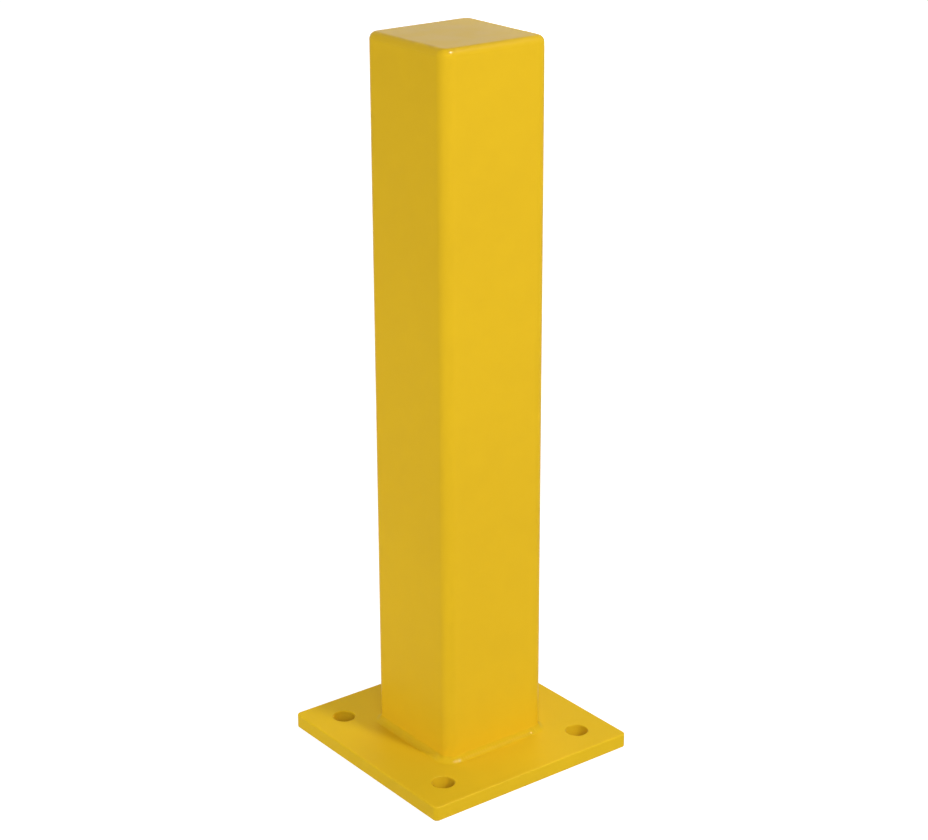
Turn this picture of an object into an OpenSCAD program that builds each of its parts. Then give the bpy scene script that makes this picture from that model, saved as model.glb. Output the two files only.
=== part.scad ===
// Bolt-down square steel bollard: a capped square tube, fillet welded to a drilled base plate.
// Millimetres. The origin is the centre of the plate's underside, and +Z runs up the post.
// The front is -Y and the left is -X.

/* [Post] */
// Height of the whole bollard, from the floor to the top of the cap
overall_h = 609.6; // [300:0.1:1200]
// Outside width of the square tube
post_w = 101.6; // [75:0.1:118]
// Wall thickness of the tube
post_wall = 4.76; // [3:0.01:7]
// Outside radius of the tube's four long corners
post_corner_r = 9.525; // [5:0.005:20]

/* [Cap] */
// Thickness of the cap plate
cap_t = 6.35; // [3:0.05:16]
// Width of the tube's rim that the cap plate rests on
cap_bearing = 1.5; // [0.8:0.05:2.6]
// Radius ground on the cap's top edge, across the plate and its seam weld
cap_edge_r = 6; // [1:0.1:8]

/* [Base plate] */
// Side of the square base plate
plate_w = 203.2; // [186:0.1:320]
// Thickness of the base plate
plate_t = 12.7; // [6:0.05:32]
// Radius of the base plate's four corners
plate_corner_r = 4; // [2:0.1:12]
// Radius of the base plate's eased top and bottom edges
plate_edge_r = 1.2; // [0.5:0.1:1.8]

/* [Anchor holes] */
// Diameter of the four anchor holes
hole_d = 19.05; // [10:0.05:26]
// Distance from the plate's edge to a hole's centre, along each side
hole_inset = 30.1625; // [20:0.0005:36]
// Radius of the softened lip at each hole's top mouth
hole_lip_r = 0.8; // [0.3:0.1:2]

/* [Foot weld] */
// Leg of the fillet weld, up the tube and along the plate
weld_leg = 4.76; // [3:0.01:12]
// Height of the bead's crown above a flat fillet
weld_crown = 0.4; // [0.2:0.05:1.2]

/* [Hidden] */
$fn = 96;

// Depth that a cut runs past the face it opens through
cut_past = 1;
// Least straight edge that a ground or eased radius leaves on its plate
least_land = 0.3;
// Least radius inside the tube's corners
least_inner_r = 0.5;
coat_yellow = "#EBBE1E";

tube_h = overall_h - plate_t - cap_t;
tube_top = plate_t + tube_h;
tube_bore_w = post_w - 2 * post_wall;
tube_bore_r = max(post_corner_r - post_wall, least_inner_r);
// The cap plate covers the bore and this much of the rim, and the seam weld fills the rest
cap_setback = post_wall - cap_bearing;
cap_w = post_w - 2 * cap_setback;
cap_corner_r = post_corner_r - cap_setback;
cap_round = min(cap_edge_r, cap_t - least_land, post_corner_r - least_land);
hole_reach = plate_w / 2 - hole_inset;
// Middle of the tube's corner arcs, which the foot weld turns about as well
post_corner_mid = post_w / 2 - post_corner_r;
// Circle through both toes of the bead, whose crown rises above the straight line between them
bead_chord = weld_leg * sqrt(2);
bead_r = (bead_chord * bead_chord / 4 + weld_crown * weld_crown) / (2 * weld_crown);
bead_mid = (bead_chord / 2 + weld_crown - bead_r) / sqrt(2);

// A square outline with round corners, centred on the origin
module round_square(w, corner_r) {
    mid = w / 2 - corner_r;
    square([w, 2 * mid], center = true);
    square([2 * mid, w], center = true);
    for (x = [-mid, mid], y = [-mid, mid]) {
        translate([x, y]) circle(r = corner_r);
    }
}

// A quarter disc, which rounds an edge from inside
module quarter_round(r) {
    intersection() {
        circle(r = r);
        square(r);
    }
}

// Right half of a slab's cross-section, with its top and bottom edges rounded (0 leaves one sharp)
module slab_section(reach, t, top_r, bottom_r) {
    translate([0, bottom_r]) square([reach, t - top_r - bottom_r]);
    translate([0, t - top_r]) square([reach - top_r, top_r]);
    translate([reach - top_r, t - top_r]) quarter_round(top_r);
    if (bottom_r > 0) {
        square([reach - bottom_r, bottom_r]);
        translate([reach - bottom_r, bottom_r]) mirror([0, 1]) quarter_round(bottom_r);
    }
}

// A square slab with round corners, whose edge rounding turns each corner as part of a torus
module round_slab(w, corner_r, t, top_r, bottom_r) {
    mid = w / 2 - corner_r;
    rotate([90, 0, 90]) linear_extrude(2 * mid, center = true) {
        slab_section(w / 2, t, top_r, bottom_r);
        mirror([1, 0]) slab_section(w / 2, t, top_r, bottom_r);
    }
    for (turn = [0, 180]) {
        rotate(turn) translate([mid, mid, 0]) rotate([90, 0, 0]) linear_extrude(2 * mid) {
            slab_section(corner_r, t, top_r, bottom_r);
        }
    }
    for (turn = [0 : 90 : 270]) {
        rotate(turn) translate([mid, mid, 0]) rotate_extrude(angle = 90) {
            slab_section(corner_r, t, top_r, bottom_r);
        }
    }
}

// Cutter for one anchor hole: a straight bore that flares into a round lip at the plate's top
module anchor_hole() {
    translate([0, 0, -cut_past]) cylinder(d = hole_d, h = plate_t + 2 * cut_past);
    translate([0, 0, plate_t - hole_lip_r]) rotate_extrude() difference() {
        square([hole_d / 2 + hole_lip_r, hole_lip_r + cut_past]);
        translate([hole_d / 2 + hole_lip_r, 0]) circle(r = hole_lip_r);
    }
}

// The cap's outside form, shared by the plate and the ring of weld ground flush with it
module cap_block() {
    round_slab(post_w, post_corner_r, cap_t, cap_round, 0);
}

// The cap plate's own outline, inside the seam weld
module cap_core() {
    translate([0, 0, -cut_past]) linear_extrude(cap_t + 2 * cut_past) {
        round_square(cap_w, cap_corner_r);
    }
}

// Cross-section of the fillet bead, with its root at the origin
module bead_section() {
    intersection() {
        square(weld_leg);
        translate([bead_mid, bead_mid]) circle(r = bead_r);
    }
}

// Half a side of the foot weld, from the middle of the tube's right face to its back right corner
module half_side_bead() {
    translate([post_w / 2, post_corner_mid, plate_t]) rotate([90, 0, 0]) {
        linear_extrude(post_corner_mid) bead_section();
    }
}

// One run of the foot weld, from the middle of one face round a corner to the middle of the next
module foot_weld_run(turn) {
    color(coat_yellow) rotate(turn) {
        half_side_bead();
        mirror([1, -1, 0]) half_side_bead();
        translate([post_corner_mid, post_corner_mid, plate_t]) rotate_extrude(angle = 90) {
            translate([post_corner_r, 0]) bead_section();
        }
    }
}

module base_plate() {
    color(coat_yellow) difference() {
        round_slab(plate_w, plate_corner_r, plate_t, plate_edge_r, plate_edge_r);
        for (x = [-hole_reach, hole_reach], y = [-hole_reach, hole_reach]) {
            translate([x, y, 0]) anchor_hole();
        }
    }
}

module post_tube() {
    color(coat_yellow) translate([0, 0, plate_t]) linear_extrude(tube_h) difference() {
        round_square(post_w, post_corner_r);
        round_square(tube_bore_w, tube_bore_r);
    }
}

module top_cap() {
    color(coat_yellow) translate([0, 0, tube_top]) intersection() {
        cap_block();
        cap_core();
    }
}

module cap_weld() {
    color(coat_yellow) translate([0, 0, tube_top]) difference() {
        cap_block();
        cap_core();
    }
}

base_plate();
post_tube();
top_cap();
cap_weld();
foot_weld_run(0);  // foot_weld_back_right
foot_weld_run(90);  // foot_weld_back_left
foot_weld_run(180);  // foot_weld_front_left
foot_weld_run(270);  // foot_weld_front_right
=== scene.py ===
"""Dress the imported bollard: powder coats, rippled foot welds, a white studio and the camera.

Lengths are metres in the part's own frame: +Z up the post, the front at -Y and the left at -X.
"""
import logging
import math
from dataclasses import dataclass
from enum import Enum

import bmesh
import bpy
from mathutils import Euler, Matrix, Vector, noise


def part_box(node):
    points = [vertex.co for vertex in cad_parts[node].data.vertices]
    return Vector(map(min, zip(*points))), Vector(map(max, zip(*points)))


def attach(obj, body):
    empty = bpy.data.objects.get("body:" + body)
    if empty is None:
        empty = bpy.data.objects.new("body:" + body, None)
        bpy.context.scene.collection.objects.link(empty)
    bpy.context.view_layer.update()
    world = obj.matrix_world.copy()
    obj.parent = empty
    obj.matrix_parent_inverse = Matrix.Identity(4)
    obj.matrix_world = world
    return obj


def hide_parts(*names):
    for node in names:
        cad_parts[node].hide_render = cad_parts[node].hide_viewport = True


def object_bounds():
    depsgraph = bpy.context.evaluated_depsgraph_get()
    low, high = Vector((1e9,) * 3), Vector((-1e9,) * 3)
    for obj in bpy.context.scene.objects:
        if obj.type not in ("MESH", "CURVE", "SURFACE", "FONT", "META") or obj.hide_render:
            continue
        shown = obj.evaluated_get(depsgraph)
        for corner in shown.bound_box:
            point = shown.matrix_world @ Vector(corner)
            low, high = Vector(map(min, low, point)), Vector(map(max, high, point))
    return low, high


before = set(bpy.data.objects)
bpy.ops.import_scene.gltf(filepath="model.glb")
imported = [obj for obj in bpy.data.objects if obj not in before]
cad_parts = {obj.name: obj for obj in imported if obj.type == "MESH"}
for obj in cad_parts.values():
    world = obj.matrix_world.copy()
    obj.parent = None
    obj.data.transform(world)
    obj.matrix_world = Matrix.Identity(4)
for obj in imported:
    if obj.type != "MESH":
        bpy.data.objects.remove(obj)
CAD_LOW, CAD_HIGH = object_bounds()

LOG = logging.getLogger("bollard")
BODY = "root"
PICTURE_WIDTH_PX = 928
MM = 0.001
QUARTER_TURN = math.pi / 2

# Range that most values of a noise node lie in
NOISE_LOW, NOISE_HIGH = 0.3, 0.7

# Vertex attributes of a weld run that its coat reads: painted shade in the hollow, gloss on the lumps
HOLLOW_ATTRIBUTE = "hollow"
LUMP_ATTRIBUTE = "lump"

# Sizes that the foot weld takes from the frame
TUBE_HALF_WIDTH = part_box("post_tube")[1].x
PLATE_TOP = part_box("base_plate")[1].z
WELD_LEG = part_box("foot_weld_back_right")[1].z - PLATE_TOP

Colour = tuple[float, float, float]
OpaqueColour = tuple[float, float, float, float]


class Corner(Enum):
    """The corner of the post that a weld run turns, by its node and its turn from the back right."""

    BACK_RIGHT = ("foot_weld_back_right", 0)
    BACK_LEFT = ("foot_weld_back_left", 90)
    FRONT_LEFT = ("foot_weld_front_left", 180)
    FRONT_RIGHT = ("foot_weld_front_right", 270)

    @property
    def node(self) -> str:
        """Name of the CAD node that the run stands for."""
        return self.value[0]

    @property
    def turn(self) -> Matrix:
        """Turn about +Z from the back right corner to this one."""
        return Matrix.Rotation(math.radians(self.value[1]), 3, "Z")


def grey(level: float) -> OpaqueColour:
    """Return the opaque grey of a linear level."""
    return (level, level, level, 1.0)


def add_object(name: str, data: bpy.types.ID) -> bpy.types.Object:
    """Make an object and link it into the scene.

    Args:
        name: the object's name.
        data: its mesh, camera or light.

    Returns:
        The object, at the origin.
    """
    made = bpy.data.objects.new(name, data)
    bpy.context.scene.collection.objects.link(made)
    return made


class NodeSheet:
    """A node tree under construction, with short calls to add nodes and join them."""

    def __init__(self, tree: bpy.types.NodeTree) -> None:
        """Start from an empty tree.

        Args:
            tree: the material's or world's node tree, which is cleared.
        """
        self.tree = tree
        tree.nodes.clear()

    def add(self, kind: str, inputs: dict | None = None, **settings: object) -> bpy.types.Node:
        """Add one node.

        Args:
            kind: the node's Blender type, such as ShaderNodeTexNoise.
            inputs: socket name or index to a value, or to the output socket that feeds it.
            settings: properties of the node itself.

        Returns:
            The new node.
        """
        node = self.tree.nodes.new(kind)
        for name, value in settings.items():
            setattr(node, name, value)
        for name, value in (inputs or {}).items():
            if isinstance(value, bpy.types.NodeSocket):
                self.tree.links.new(value, node.inputs[name])
            else:
                node.inputs[name].default_value = value
        return node

    def calculate(self, operation: str, *values: bpy.types.NodeSocket) -> bpy.types.NodeSocket:
        """Work out one value from others.

        Args:
            operation: Blender's name of the operation, such as ADD.
            values: the sockets that it takes.

        Returns:
            The result's socket.
        """
        made = self.add("ShaderNodeMath", dict(enumerate(values)), operation=operation)
        return made.outputs["Value"]

    def spread(self, source: bpy.types.NodeSocket, low: float, high: float,
               to_low: float = 0.0, to_high: float = 1.0) -> bpy.types.NodeSocket:
        """Map a value smoothly from one range to another.

        Args:
            source: the value to map.
            low: the value that becomes to_low.
            high: the value that becomes to_high.
            to_low: the result at low and below.
            to_high: the result at high and above.

        Returns:
            The mapped value's socket.
        """
        mapped = self.add("ShaderNodeMapRange", {
            "Value": source, "From Min": low, "From Max": high, "To Min": to_low, "To Max": to_high,
        }, interpolation_type="SMOOTHSTEP")
        return mapped.outputs["Result"]

    def noise(self, place: bpy.types.NodeSocket, scale: float, detail: float) -> bpy.types.NodeSocket:
        """Add noise.

        Args:
            place: coordinates in metres.
            scale: features per metre.
            detail: octaves of finer noise.

        Returns:
            The noise value's socket, mostly between NOISE_LOW and NOISE_HIGH.
        """
        made = self.add("ShaderNodeTexNoise", {"Vector": place, "Scale": scale, "Detail": detail})
        return made.outputs["Fac"]

    def bump(self, height: bpy.types.NodeSocket, depth: float,
             under: bpy.types.NodeSocket | None = None) -> bpy.types.NodeSocket:
        """Add relief to the normal.

        Args:
            height: relief from 0 to 1.
            depth: metres from the bottom of the relief to its top.
            under: normal that the relief lies on, or None for the surface's own.

        Returns:
            The relieved normal's socket.
        """
        made = self.add("ShaderNodeBump", {"Strength": 1.0, "Distance": depth, "Height": height})
        if under is not None:
            self.tree.links.new(under, made.inputs["Normal"])
        return made.outputs["Normal"]

    def mix(self, factor: bpy.types.NodeSocket, first: Colour, second: Colour) -> bpy.types.NodeSocket:
        """Mix two colours.

        Args:
            factor: 0 for the first colour, 1 for the second.
            first: linear red, green and blue.
            second: linear red, green and blue.

        Returns:
            The mixed colour's socket.
        """
        mixer = self.add("ShaderNodeMix", data_type="RGBA")
        sockets = {socket.identifier: socket for socket in mixer.inputs}
        self.tree.links.new(factor, sockets["Factor_Float"])
        sockets["A_Color"].default_value = (*first, 1.0)
        sockets["B_Color"].default_value = (*second, 1.0)
        return next(socket for socket in mixer.outputs if socket.enabled)


@dataclass(frozen=True)
class PowderCoat:
    """A gloss powder coat, with the drift in tone and the orange peel that it cures with.

    Attributes:
        name: the material's name.
        tone: linear colour where the coat is lightest.
        deep_tone: linear colour where the coat is deepest.
        roughness: least and greatest roughness of the pigment layer.
        specular: specular level of the pigment layer.
        skin: weight of the gloss skin over the pigment.
        skin_ior: index of refraction of the skin.
        skin_roughness: roughness of the skin.
        drift_scale: broad patches of tone per metre.
        drift_detail: octaves of finer patches in the drift.
        drift_share: share of the change in tone that is broad, where clouds make the rest.
        cloud_scale: small clouds of tone and roughness per metre.
        cloud_detail: octaves of finer clouds.
        peel_scale: bumps of orange peel per metre.
        peel_detail: octaves of finer orange peel.
        peel_depth: depth of the orange peel.
    """

    name: str
    tone: Colour
    deep_tone: Colour
    roughness: tuple[float, float] = (0.30, 0.38)
    specular: float = 0.018
    skin: float = 0.15
    skin_ior: float = 1.25
    skin_roughness: float = 0.42
    drift_scale: float = 6.0
    drift_detail: float = 2.0
    drift_share: float = 0.7
    cloud_scale: float = 48.0
    cloud_detail: float = 3.0
    peel_scale: float = 300.0
    peel_detail: float = 2.0
    peel_depth: float = 0.03 * MM

    def material(self) -> bpy.types.Material:
        """Build the coat's material.

        Returns:
            A material that reads Object coordinates, so that it runs on across neighbouring pieces.
        """
        made = bpy.data.materials.new(self.name)
        made.use_nodes = True
        sheet = NodeSheet(made.node_tree)
        place = sheet.add("ShaderNodeTexCoord").outputs["Object"]
        cloud = sheet.noise(place, self.cloud_scale, self.cloud_detail)
        normal = self._relief(sheet, place)
        shader = sheet.add("ShaderNodeBsdfPrincipled", {
            "Base Color": sheet.mix(self._shade(sheet, place, cloud), self.deep_tone, self.tone),
            "Roughness": sheet.spread(cloud, NOISE_LOW, NOISE_HIGH, *self.roughness),
            "Specular IOR Level": self.specular,
            "Coat Weight": self._skin(sheet),
            "Coat IOR": self.skin_ior,
            "Coat Roughness": self.skin_roughness,
            "Normal": normal,
            "Coat Normal": normal,
        })
        sheet.add("ShaderNodeOutputMaterial", {"Surface": shader.outputs["BSDF"]})
        return made

    def _skin(self, sheet: NodeSheet) -> float | bpy.types.NodeSocket:
        """Return the weight of the gloss skin, the same all over."""
        return self.skin

    def _shade(self, sheet: NodeSheet, place: bpy.types.NodeSocket,
               cloud: bpy.types.NodeSocket) -> bpy.types.NodeSocket:
        """Make the coat's change in tone: a broad drift with small clouds in it.

        Args:
            sheet: the material's sheet.
            place: coordinates in metres.
            cloud: noise of the small clouds.

        Returns:
            The socket of a factor, 0 for the deep tone and 1 for the light one.
        """
        drift = sheet.noise(place, self.drift_scale, self.drift_detail)
        broad = sheet.spread(drift, NOISE_LOW, NOISE_HIGH, 0.0, self.drift_share)
        fine = sheet.spread(cloud, NOISE_LOW, NOISE_HIGH, 0.0, 1.0 - self.drift_share)
        return sheet.calculate("ADD", broad, fine)

    def _relief(self, sheet: NodeSheet, place: bpy.types.NodeSocket) -> bpy.types.NodeSocket:
        """Return the socket of a normal with the coat's orange peel on it."""
        peel = sheet.noise(place, self.peel_scale, self.peel_detail)
        return sheet.bump(peel, self.peel_depth)


@dataclass(frozen=True)
class CutEdgeCoat(PowderCoat):
    """A powder coat over flame-cut plate, whose drag lines still show on the plate's upright edges.

    Attributes:
        line_scale: drag lines per metre along the edge.
        line_detail: octaves of finer lines.
        line_stretch: scale of the lines up the edge, as a share of their scale along it.
        line_depth: depth of the lines.
        upright_rise: greatest rise or fall of a normal that still has its lines in full.
        level_rise: least rise or fall of a normal that has no lines.
    """

    line_scale: float = 700.0
    line_detail: float = 1.0
    line_stretch: float = 0.04
    line_depth: float = 0.05 * MM
    upright_rise: float = 0.15
    level_rise: float = 0.6

    def _relief(self, sheet: NodeSheet, place: bpy.types.NodeSocket) -> bpy.types.NodeSocket:
        """Make the orange peel, and drag lines where the surface stands upright.

        Args:
            sheet: the material's sheet.
            place: coordinates in metres.

        Returns:
            The socket of the relieved normal.
        """
        peeled = super()._relief(sheet, place)
        stretched = sheet.add("ShaderNodeMapping", {
            "Vector": place, "Scale": (1.0, 1.0, self.line_stretch),
        }, vector_type="POINT").outputs["Vector"]
        lines = sheet.noise(stretched, self.line_scale, self.line_detail)
        facing = sheet.add("ShaderNodeNewGeometry").outputs["Normal"]
        height = sheet.add("ShaderNodeSeparateXYZ", {"Vector": facing}).outputs["Z"]
        rise = sheet.calculate("ABSOLUTE", height)
        upright = sheet.spread(rise, self.upright_rise, self.level_rise, 1.0, 0.0)
        kept = sheet.calculate("MULTIPLY", lines, upright)
        return sheet.bump(kept, self.line_depth, peeled)


@dataclass(frozen=True)
class HollowShadedCoat(PowderCoat):
    """A powder coat over a weld bead, with painted shade that deepens its tone in the bead's hollow, and
    glossier on its lumps.

    Attributes:
        hollow_shade: share of the way to the deep tone that the painted shade takes the coat in the middle of
            the hollow.
        lump_skin: weight of the gloss skin on the lumps.
        lump_full: value of the lump attribute from which the skin has that weight.
    """

    hollow_shade: float = 1.0
    lump_skin: float = 0.14
    lump_full: float = 0.7

    def _skin(self, sheet: NodeSheet) -> float | bpy.types.NodeSocket:
        """Return the socket of the gloss skin's weight, which is greatest on the lumps."""
        lump = sheet.add("ShaderNodeAttribute", attribute_name=LUMP_ATTRIBUTE).outputs["Fac"]
        return sheet.spread(lump, 0.0, self.lump_full, self.skin, self.lump_skin)

    def _shade(self, sheet: NodeSheet, place: bpy.types.NodeSocket,
               cloud: bpy.types.NodeSocket) -> bpy.types.NodeSocket:
        """Make the plain coat's change in tone, drawn towards the deep tone in the hollow as painted shade.

        Args:
            sheet: the material's sheet.
            place: coordinates in metres.
            cloud: noise of the small clouds.

        Returns:
            The socket of a factor, 0 for the deep tone and 1 for the light one.
        """
        plain = super()._shade(sheet, place, cloud)
        hollow = sheet.add("ShaderNodeAttribute", attribute_name=HOLLOW_ATTRIBUTE).outputs["Fac"]
        # Painted shade: the coat is darkened in the bead's hollow, which evens out the extra light that the
        # slanted bead catches.
        keep = sheet.spread(hollow, 0.0, 1.0, 1.0, 1.0 - self.hollow_shade)
        return sheet.calculate("MULTIPLY", plain, keep)


POST_COAT = PowderCoat(
    "post_powder_coat",
    tone=(0.80, 0.505, 0.016),
    deep_tone=(0.77, 0.48, 0.016),
)
CAP_COAT = PowderCoat(
    "cap_powder_coat",
    tone=(0.80, 0.505, 0.016),
    deep_tone=(0.77, 0.48, 0.016),
    skin=0.41,
    skin_ior=1.2,
    skin_roughness=0.23,
)
# The plate's tones are a little darker than the post's though the coat is the same: painted shade that tones
# down the plate's light.
PLATE_COAT = CutEdgeCoat(
    "plate_powder_coat",
    tone=(0.78, 0.507, 0.016),
    deep_tone=(0.75, 0.483, 0.016),
    skin_roughness=0.5,
)
# The weld's deep tone is the painted shade that the bead's hollow takes, much darker than the post's.
WELD_COAT = HollowShadedCoat(
    "weld_powder_coat",
    tone=(0.80, 0.505, 0.016),
    deep_tone=(0.70, 0.452, 0.012),
    skin=0.05,
    skin_ior=1.45,
    skin_roughness=0.13,
)


@dataclass(frozen=True)
class SteelPiece:
    """A sub-assembly that keeps its CAD shapes and takes one finish.

    Attributes:
        nodes: the CAD nodes that it is made of.
        coat: the finish of all their faces.
    """

    nodes: tuple[str, ...]
    coat: PowderCoat

    def build(self) -> list[bpy.types.Object]:
        """Give every node its finish.

        Returns:
            The CAD nodes' own objects.
        """
        material = self.coat.material()
        pieces = [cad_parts[node] for node in self.nodes]
        for piece in pieces:
            piece.data.materials.clear()
            piece.data.materials.append(material)
        return pieces


@dataclass(frozen=True)
class Post(SteelPiece):
    """The square tube."""

    nodes: tuple[str, ...] = ("post_tube",)
    coat: PowderCoat = POST_COAT


@dataclass(frozen=True)
class Cap(SteelPiece):
    """The plate that closes the tube, and its seam weld, ground flush and coated as one."""

    nodes: tuple[str, ...] = ("top_cap", "cap_weld")
    coat: PowderCoat = CAP_COAT


@dataclass(frozen=True)
class BasePlate(SteelPiece):
    """The drilled plate that the post stands on."""

    nodes: tuple[str, ...] = ("base_plate",)
    coat: PowderCoat = PLATE_COAT


@dataclass(frozen=True)
class BeadSection:
    """Cross-section of the coated fillet bead, out from the tube's face and up from the plate.

    Attributes:
        leg: leg of the bare fillet.
        feather: how far the coat runs on past each toe of the fillet.
        sink: how far the section's toes lie inside the steel.
        root_sink: how far the section's root lies inside the steel, each way.
        steps: straight edges that the hollow is drawn with.
    """

    leg: float = WELD_LEG
    feather: float = 1.8 * MM
    sink: float = 0.15 * MM
    root_sink: float = 0.3 * MM
    steps: int = 24

    @property
    def reach(self) -> float:
        """How far the coated toes lie from the root, and so the radius of the hollow."""
        return self.leg + self.feather

    def draw(self, shape: bmesh.types.BMesh, corner: Vector) -> list[bmesh.types.BMEdge]:
        """Draw the section: a hollow from the tube's face to the plate's, closed inside the steel.

        Args:
            shape: the empty mesh that takes the section.
            corner: where the tube's face meets the plate.

        Returns:
            The edges all round the section.
        """
        upper_toe = shape.verts.new(corner + Vector((-self.sink, 0.0, self.reach)))
        middle = corner + Vector((self.reach, 0.0, self.reach))
        arc = bmesh.ops.spin(
            shape, geom=[upper_toe], cent=middle, axis=(0.0, -1.0, 0.0), angle=QUARTER_TURN, steps=self.steps,
        )
        lower_toe = next(item for item in arc["geom_last"] if isinstance(item, bmesh.types.BMVert))
        root = shape.verts.new(corner - Vector((self.root_sink, 0.0, self.root_sink)))
        shape.edges.new((lower_toe, root))
        shape.edges.new((root, upper_toe))
        return list(shape.edges)


@dataclass(frozen=True)
class Station:
    """Where a point of a weld run lies.

    Attributes:
        along: distance along the run's root line.
        root: nearest point of the root line.
        outward: level direction away from the tube.
        out: distance from the tube's face.
        up: height above the plate.
        reach: how far the bead's toes lie from its root.
    """

    along: float
    root: Vector
    outward: Vector
    out: float
    up: float
    reach: float

    @property
    def belly(self) -> float:
        """1 in the middle of the bead, 0 at its toes."""
        lean = math.atan2(self.reach - self.up, self.reach - self.out)
        return max(math.sin(2 * lean), 0.0)

    def moved(self, swell: float, lift: float) -> Vector:
        """Move the point away from the root line, within its cross-section.

        Args:
            swell: share by which the cross-section grows.
            lift: distance that the point moves beyond that.

        Returns:
            The moved point.
        """
        grown = 1 + swell + lift / math.hypot(self.out, self.up)
        return self.root + self.outward * self.out * grown + Vector((0.0, 0.0, self.up * grown))


@dataclass(frozen=True)
class FootWeld:
    """The foot's fillet weld, in runs from the middle of one face round a corner to the next.

    Attributes:
        coat: the finish of every run.
        slot: name of the record's slot for the finish, which is handed to add_piece.
        section: cross-section of the bead.
        half_width: half the tube's outside width.
        corner_radius: outside radius of the tube's long corners.
        plate_top: height of the plate's upper face.
        step: length of a step along the straight stretches.
        corner_steps: steps round the corner.
        ripples: ripples along one run.
        ripple_height: height of a ripple's crest.
        ripple_bow: how far a ripple bows forward along the run in the middle of the bead.
        wobble: greatest share by which the bead's width strays.
        wobble_scale: strays of the width per metre.
        stop_swell: share by which the bead is thicker where a run stops.
        stop_length: how far that thickening reaches from the stop.
        lump_height: height of the lumps where the welder slowed for the corner.
        lump_length: how far a lump reaches from its crest.
        lump_before: how far before the corner the first lump lies.
        lump_after: how far after the corner the second lump lies.
    """

    coat: HollowShadedCoat = WELD_COAT
    slot: str = "weld_coat"
    section: BeadSection = BeadSection()
    half_width: float = TUBE_HALF_WIDTH
    corner_radius: float = 9.525 * MM
    plate_top: float = PLATE_TOP
    step: float = 0.32 * MM
    corner_steps: int = 40
    ripples: int = 38
    ripple_height: float = 0.03 * MM
    ripple_bow: float = 0.8 * MM
    wobble: float = 0.05
    wobble_scale: float = 70.0
    stop_swell: float = 0.06
    stop_length: float = 5.0 * MM
    lump_height: float = 0.32 * MM
    lump_length: float = 2.0 * MM
    lump_before: float = 4.0 * MM
    lump_after: float = 2.0 * MM

    @property
    def straight(self) -> float:
        """Length of each straight stretch, from the middle of a face to the corner."""
        return self.half_width - self.corner_radius

    @property
    def length(self) -> float:
        """Length of one run along its root line."""
        return 2 * self.straight + self.corner_radius * QUARTER_TURN

    def build(self) -> list[bpy.types.Object]:
        """Build a run for every corner, in one coat."""
        material = self.coat.material()
        return [self._run(corner, material) for corner in Corner]

    def _run(self, corner: Corner, material: bpy.types.Material) -> bpy.types.Object:
        """Build one run.

        Args:
            corner: the corner that the run turns.
            material: the run's finish.

        Returns:
            The run, riding on the body in place of its CAD node.
        """
        shape = bmesh.new()
        self._sweep(shape)
        self._lay(shape, corner)
        bmesh.ops.rotate(shape, cent=(0.0, 0.0, 0.0), matrix=corner.turn, verts=shape.verts)
        bmesh.ops.recalc_face_normals(shape, faces=shape.faces)
        return add_piece(shape, corner.node + "_bead", material, self.slot, corner.node)

    def _sweep(self, shape: bmesh.types.BMesh) -> None:
        """Sweep the section along the run that turns the back right corner.

        Args:
            shape: the empty mesh that takes the run.
        """
        start = self.section.draw(shape, Vector((self.half_width, 0.0, self.plate_top)))
        steps = round(self.straight / self.step)
        stride = self.straight / steps
        ends = self._spin(shape, start, steps, stride * Vector((0.0, 1.0, 0.0)), 0.0)
        ends = self._spin(shape, ends, self.corner_steps, Vector(), QUARTER_TURN)
        ends = self._spin(shape, ends, steps, stride * Vector((-1.0, 0.0, 0.0)), 0.0)
        bmesh.ops.contextual_create(shape, geom=start)
        bmesh.ops.contextual_create(shape, geom=ends)

    def _spin(self, shape: bmesh.types.BMesh, edges: list[bmesh.types.BMEdge], steps: int,
              stride: Vector, angle: float) -> list[bmesh.types.BMEdge]:
        """Carry the section on along one stretch of the run.

        Args:
            shape: the run's mesh.
            edges: the section's edges where the stretch starts.
            steps: number of steps.
            stride: straight move of each step.
            angle: turn of the whole stretch about the corner's middle.

        Returns:
            The section's edges where the stretch ends.
        """
        middle = (self.straight, self.straight, 0.0)
        swept = bmesh.ops.spin(
            shape, geom=edges, cent=middle, axis=(0.0, 0.0, 1.0), dvec=stride, angle=angle, steps=steps,
        )
        return [item for item in swept["geom_last"] if isinstance(item, bmesh.types.BMEdge)]

    def _station(self, point: Vector) -> Station:
        """Find where a point of the unturned run lies.

        Args:
            point: the point's place.

        Returns:
            Its station along, out and up.
        """
        if point.y <= self.straight:
            along, turn = point.y, 0.0
        elif point.x <= self.straight:
            along, turn = self.length - point.x, QUARTER_TURN
        else:
            turn = math.atan2(point.y - self.straight, point.x - self.straight)
            along = self.straight + self.corner_radius * turn
        outward = Vector((math.cos(turn), math.sin(turn), 0.0))
        middle = Vector((min(point.x, self.straight), min(point.y, self.straight), 0.0))
        root = middle + outward * self.corner_radius + Vector((0.0, 0.0, self.plate_top))
        out = (point - root).dot(outward)
        return Station(along, root, outward, out, point.z - self.plate_top, self.section.reach)

    def _lay(self, shape: bmesh.types.BMesh, corner: Corner) -> None:
        """Give the swept run its ripples, uneven width, lumps and swollen stops, and mark it for its coat.

        Args:
            shape: the run's mesh, which still turns the back right corner.
            corner: the corner that it goes to, so that no two runs stray alike.
        """
        hollow = shape.verts.layers.float.new(HOLLOW_ATTRIBUTE)
        lump = shape.verts.layers.float.new(LUMP_ATTRIBUTE)
        turn = corner.turn
        for vertex in shape.verts:
            spot = self._station(vertex.co)
            if spot.out <= 0.0 and spot.up <= 0.0:
                continue
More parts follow.
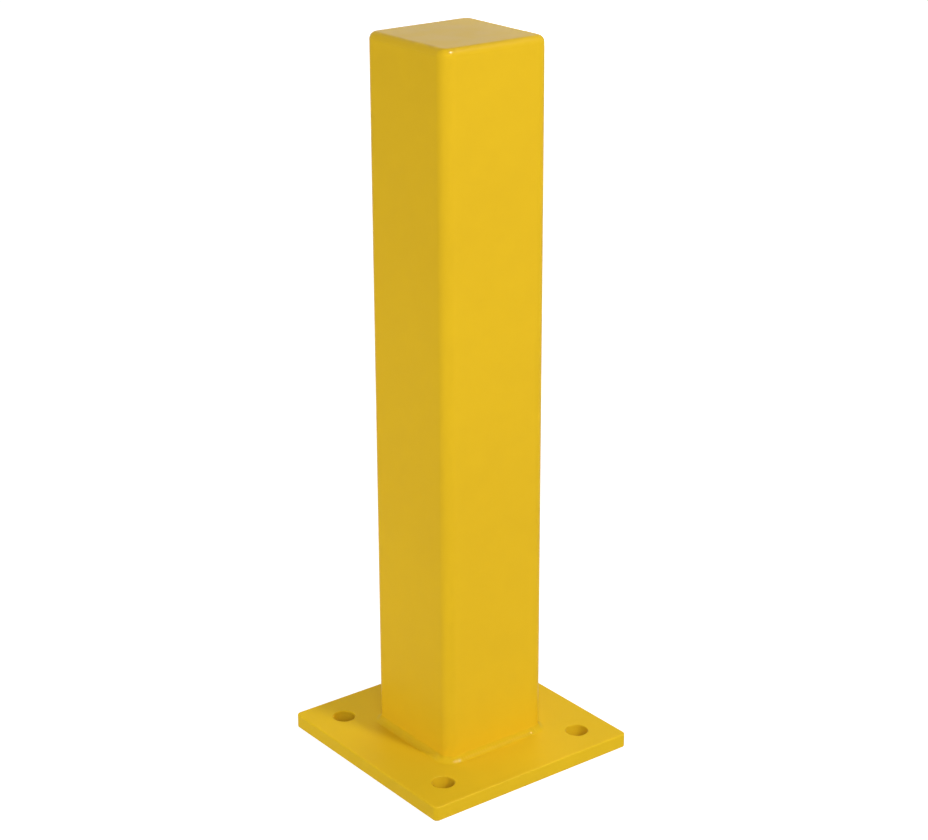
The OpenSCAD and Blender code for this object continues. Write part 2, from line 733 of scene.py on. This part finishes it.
            # The hollow mark sets how much painted shade the weld coat puts on the bead.
            vertex[hollow] = spot.belly
            bulge = self._lumps(spot.along)
            vertex[lump] = bulge
            swell = self.wobble * noise.noise(turn @ vertex.co * self.wobble_scale)
            to_stop = min(spot.along, self.length - spot.along)
            swell += self.stop_swell * math.exp(-((to_stop / self.stop_length) ** 2))
            phase = self.ripples * (spot.along - self.ripple_bow * spot.belly) / self.length
            lift = self.ripple_height * spot.belly * math.cos(2 * math.pi * phase)
            lift += self.lump_height * spot.belly * bulge
            vertex.co = spot.moved(swell, lift)

    def _lumps(self, along: float) -> float:
        """Find how far the bead bulges where the welder slowed, just before and after the corner.

        Args:
            along: distance along the run's root line.

        Returns:
            1 on the crest of a lump, and about 0 away from both.
        """
        first = self.straight - self.lump_before
        second = self.length - self.straight + self.lump_after
        return sum(math.exp(-(((along - crest) / self.lump_length) ** 2)) for crest in (first, second))


def add_piece(shape: bmesh.types.BMesh, name: str, material: bpy.types.Material, slot: str,
              *nodes: str) -> bpy.types.Object:
    """Turn a finished shape into a piece of the visual model.

    Args:
        shape: the piece's mesh, which is freed.
        name: the piece's name.
        material: its finish.
        slot: not used.
        nodes: the CAD nodes that the piece stands for.

    Returns:
        The piece, shaded smooth and riding on the body.
    """
    mesh = bpy.data.meshes.new(name)
    shape.to_mesh(mesh)
    shape.free()
    mesh.shade_smooth()
    mesh.materials.append(material)
    piece = add_object(name, mesh)
    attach(piece, BODY)
    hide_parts(*nodes)
    return piece


@dataclass(frozen=True)
class PhotoCamera:
    """The camera at the photograph's viewing angle.

    Attributes:
        azimuth: turn of its stand about +Z, from the front towards the left, in radians.
        distance: level distance from the post's axis.
        height: height above the floor.
        yaw: turn of its aim to the right of the post's axis, in radians.
        pitch: tilt of its aim below the level, in radians.
        roll: turn of the picture about its aim, in radians.
        focal_px: focal length in pixels of the picture.
        sensor_width_mm: width of the sensor.
    """

    azimuth: float = 0.651
    distance: float = 1.678
    height: float = 0.9275
    yaw: float = 0.0028
    pitch: float = 0.362
    roll: float = 0.0034
    focal_px: float = 2195.0
    sensor_width_mm: float = 36.0

    def place(self) -> bpy.types.Object:
        """Make the scene's camera.

        Returns:
            The camera, in front of the post's front left corner and looking down at it.
        """
        data = bpy.data.cameras.new("photo_camera")
        data.sensor_width = self.sensor_width_mm
        data.lens = self.focal_px * self.sensor_width_mm / PICTURE_WIDTH_PX
        camera = add_object("photo_camera", data)
        aim = Euler((QUARTER_TURN - self.pitch, 0.0, -self.azimuth - self.yaw)).to_matrix()
        camera.rotation_euler = (aim @ Matrix.Rotation(-self.roll, 3, "Z")).to_euler()
        left = math.sin(self.azimuth) * self.distance
        forward = math.cos(self.azimuth) * self.distance
        camera.location = (-left, -forward, self.height)
        bpy.context.scene.camera = camera
        return camera


@dataclass(frozen=True)
class Lamp:
    """A round lamp, by the direction that it hangs in as seen from the middle of the post.

    Attributes:
        name: the lamp's name.
        azimuth: degrees from the front towards the right.
        elevation: degrees above the level.
        size: diameter.
        watts: power.
        distance: distance from the middle of the post.
        glints_only: whether it shows in the gloss alone, where the other lamps only light what is matte.
    """

    name: str
    azimuth: float
    elevation: float
    size: float
    watts: float
    distance: float = 2.2
    glints_only: bool = False

    def hang(self, middle: Vector) -> None:
        """Hang the lamp, facing the middle of the post.

        Args:
            middle: the middle of the post.
        """
        data = bpy.data.lights.new(self.name, "AREA")
        data.shape = "DISK"
        data.size = self.size
        data.energy = self.watts
        lamp = add_object(self.name, data)
        tilt = Euler((-math.radians(self.elevation), 0.0, math.radians(self.azimuth)))
        towards = tilt.to_matrix() @ Vector((0.0, -1.0, 0.0))
        lamp.location = middle + towards * self.distance
        lamp.rotation_euler = towards.to_track_quat("Z", "Y").to_euler()
        lamp.visible_camera = False
        lamp.visible_diffuse = not self.glints_only
        lamp.visible_glossy = self.glints_only


@dataclass(frozen=True)
class Studio:
    """A white studio: a weak even surround, soft lamps round the post and a pale floor.

    Attributes:
        surround: strength of the even light from all round.
        white: strength at which the background shows white.
        floor_size: side of the floor.
        floor_albedo: level of the floor as it lights the post.
        floor_glow: light that the floor shows of itself.
        floor_shade: level of the floor as it shows the post's shadow.
        flag_size: side of the dark card over the cap.
        flag_rise: height of the card above the cap.
        flag_albedo: level of the card.
        lamps: the lamps round the post.
    """

    surround: float = 0.36
    white: float = 1.0
    floor_size: float = 12.0
    floor_albedo: float = 0.6
    floor_glow: float = 0.9
    floor_shade: float = 0.36
    flag_size: float = 0.225
    flag_rise: float = 0.15
    flag_albedo: float = 0.05
    lamps: tuple[Lamp, ...] = (
        Lamp("key_lamp", azimuth=12.0, elevation=42.0, size=0.6, watts=83.0, distance=4.5),
        Lamp("key_bulb", azimuth=30.0, elevation=58.0, size=0.36, watts=150.0, glints_only=True),
        Lamp("fill_lamp", azimuth=-34.0, elevation=24.0, size=2.0, watts=62.0, distance=4.5),
        Lamp("side_lamp", azimuth=-112.0, elevation=-9.5, size=0.1, watts=3.2, distance=1.2),
        Lamp("top_lamp", azimuth=125.0, elevation=65.0, size=1.0, watts=8.5),
        Lamp("back_lamp", azimuth=135.0, elevation=-2.8, size=0.24, watts=32.0, distance=3.5),
    )

    def build(self) -> None:
        """Make the surround, the floor, the flag and the lamps."""
        self._surround()
        self._floor()
        self._flag()
        middle = (CAD_LOW + CAD_HIGH) / 2
        for lamp in self.lamps:
            lamp.hang(middle)
        bpy.context.scene.view_settings.view_transform = "Standard"

    def _seen(self, sheet: NodeSheet) -> bpy.types.NodeSocket:
        """Tell the rays that show the background from those that only carry light.

        Args:
            sheet: the sheet of the world or of the floor.

        Returns:
            The socket of a factor, 1 for camera, glossy and transmission rays and 0 for the others.
        """
        path = sheet.add("ShaderNodeLightPath")
        shiny = sheet.calculate("MAXIMUM", path.outputs["Is Glossy Ray"], path.outputs["Is Transmission Ray"])
        return sheet.calculate("MAXIMUM", path.outputs["Is Camera Ray"], shiny)

    def _surround(self) -> None:
        """Light evenly from all round, and show white."""
        world = bpy.data.worlds.new("white_surround")
        world.use_nodes = True
        bpy.context.scene.world = world
        sheet = NodeSheet(world.node_tree)
        light = sheet.add("ShaderNodeBackground", {"Strength": self.surround, "Color": grey(1.0)})
        shown = sheet.add("ShaderNodeBackground", {"Strength": self.white, "Color": grey(1.0)})
        both = sheet.add("ShaderNodeMixShader", {
            0: self._seen(sheet), 1: light.outputs["Background"], 2: shown.outputs["Background"],
        })
        sheet.add("ShaderNodeOutputWorld", {"Surface": both.outputs["Shader"]})

    def _card(self, name: str, size: float, height: float) -> tuple[bpy.types.Object, NodeSheet]:
        """Lay a level square card that belongs to the stage.

        Args:
            name: the card's name, and its material's.
            size: length of a side.
            height: height above the ground.

        Returns:
            The card and the empty sheet of its material.
        """
        shape = bmesh.new()
        bmesh.ops.create_grid(shape, x_segments=1, y_segments=1, size=size / 2)
        bmesh.ops.translate(shape, verts=shape.verts, vec=(0.0, 0.0, height))
        mesh = bpy.data.meshes.new(name)
        shape.to_mesh(mesh)
        shape.free()
        card = add_object(name, mesh)
        material = bpy.data.materials.new(name)
        material.use_nodes = True
        mesh.materials.append(material)
        return card, NodeSheet(material.node_tree)

    def _floor(self) -> None:
        """Lay a pale floor that shows white and keeps the object's shadow."""
        _, sheet = self._card("studio_floor", self.floor_size, 0.0)
        matte = sheet.add("ShaderNodeBsdfDiffuse", {"Color": grey(self.floor_albedo)})
        shade = sheet.add("ShaderNodeBsdfDiffuse", {"Color": grey(self.floor_shade)})
        glow = sheet.add("ShaderNodeEmission", {"Strength": self.floor_glow})
        shown = sheet.add("ShaderNodeAddShader", {0: shade.outputs["BSDF"], 1: glow.outputs["Emission"]})
        both = sheet.add("ShaderNodeMixShader", {
            0: self._seen(sheet), 1: matte.outputs["BSDF"], 2: shown.outputs["Shader"],
        })
        sheet.add("ShaderNodeOutputMaterial", {"Surface": both.outputs["Shader"]})

    def _flag(self) -> None:
        """Hang a dark card over the cap, out of the picture, to take some of the light from above."""
        flag, sheet = self._card("overhead_flag", self.flag_size, CAD_HIGH.z + self.flag_rise)
        flag.visible_camera = False
        flag.visible_glossy = False
        flag.visible_transmission = False
        dark = sheet.add("ShaderNodeBsdfDiffuse", {"Color": grey(self.flag_albedo)})
        sheet.add("ShaderNodeOutputMaterial", {"Surface": dark.outputs["BSDF"]})


def main() -> None:
    """Set up the camera and the studio, then build each sub-assembly in order and report its pieces."""
    logging.basicConfig(level=logging.INFO, format="%(message)s")
    PhotoCamera().place()
    Studio().build()
    for sub_assembly in (Post(), Cap(), BasePlate(), FootWeld()):
        for piece in sub_assembly.build():
            mesh = piece.data
            LOG.info("%s: %d faces in %s", piece.name, len(mesh.polygons), mesh.materials[0].name)


if __name__ == "__main__":
    main()
